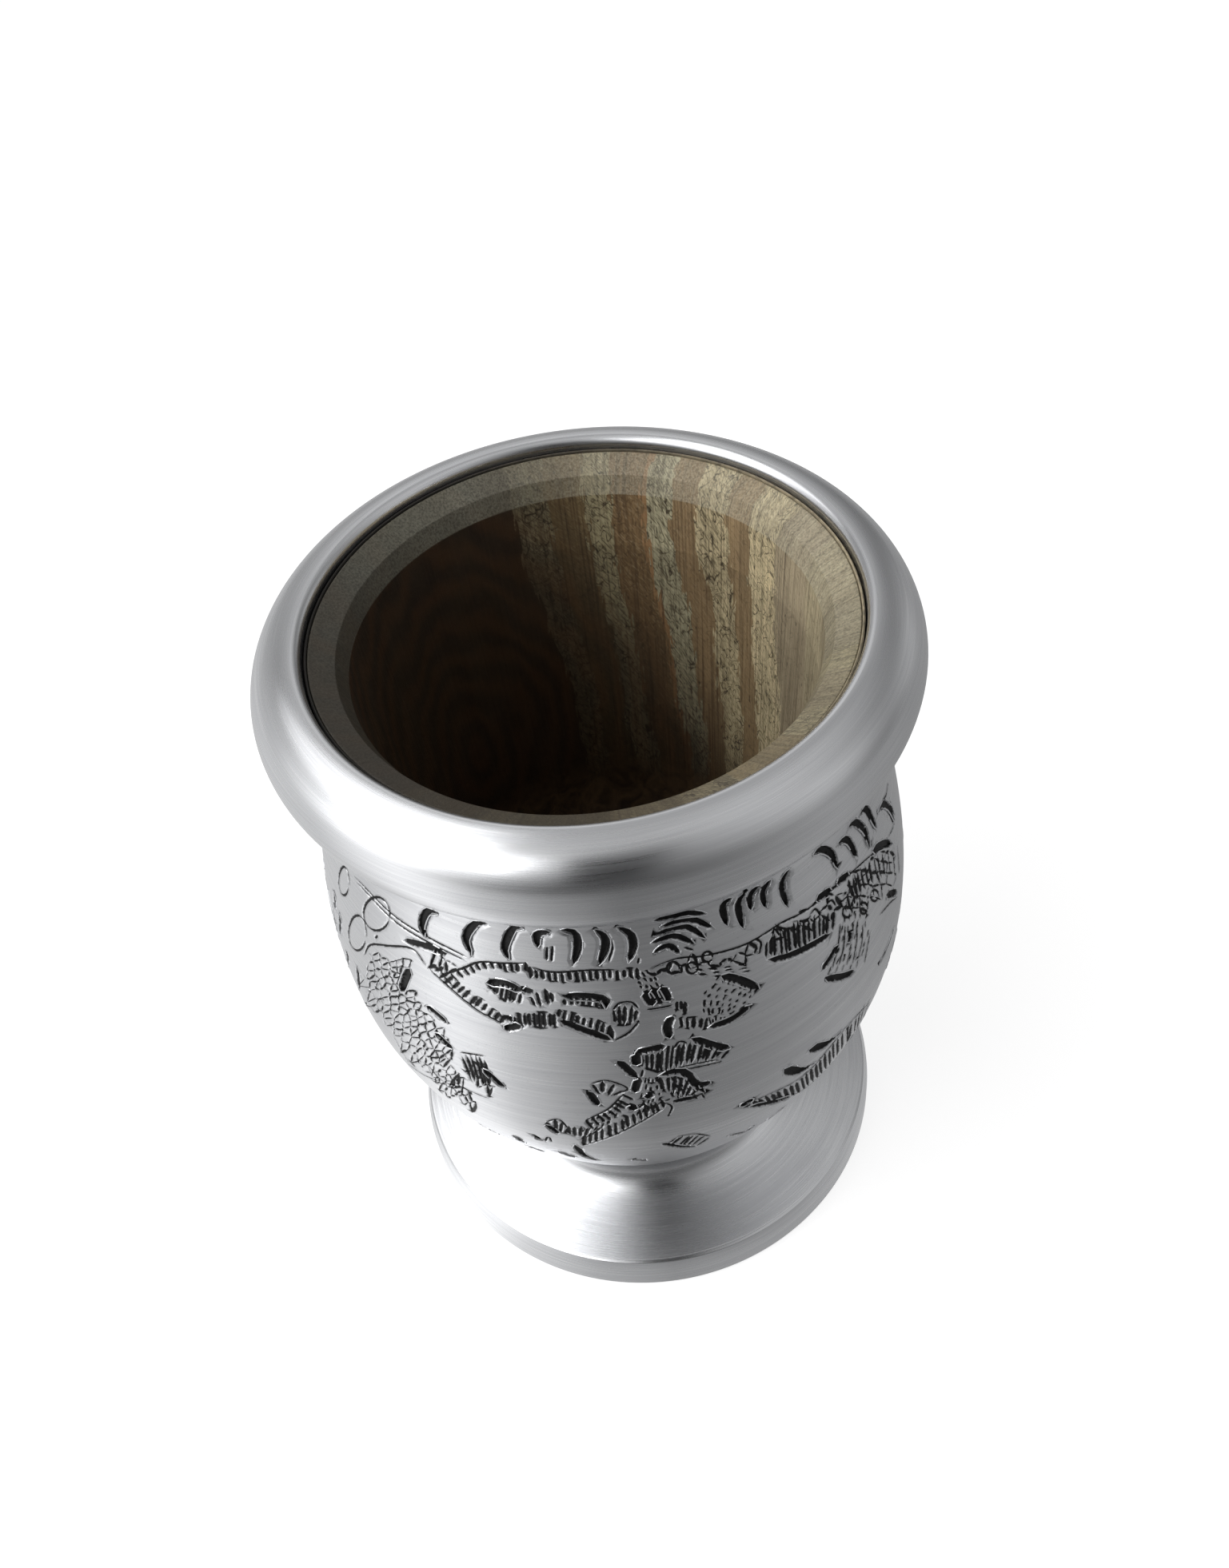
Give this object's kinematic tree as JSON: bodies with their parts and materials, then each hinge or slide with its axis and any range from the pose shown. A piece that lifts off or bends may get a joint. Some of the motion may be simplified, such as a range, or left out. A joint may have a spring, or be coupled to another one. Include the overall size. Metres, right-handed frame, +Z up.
{
  "type": "mate cup",
  "caption": "Footed mate cup: a turned wooden bowl in a bellied aluminium barrel, with a round bead rim and a flared pedestal foot.",
  "frame": {"origin": "centre of the foot's underside, on the surface that the cup stands on", "axes": "+Z up along the turning axis to the mouth; the picture was taken from the -Y side, with +X to the right"},
  "size_m": [0.085, 0.085, 0.1115],
  "materials": {
    "satin_aluminium": "satin turned, fine marks around the axis",
    "chiselled_aluminium": "satin turned, with dark chiselled foliage",
    "olive_wood": "turned, open grain, worn at the mouth",
    "sealing_compound": "matt, dark",
    "steel": "plain turned"
  },
  "bodies": {
    "root": {"rim_ring": "satin_aluminium", "mouth_seal": "sealing_compound", "wood_liner": "olive_wood", "body_shell": "chiselled_aluminium", "foot": "satin_aluminium", "foot_screw": "steel", "foot_washer": "steel"}
  },
  "joints": []
}
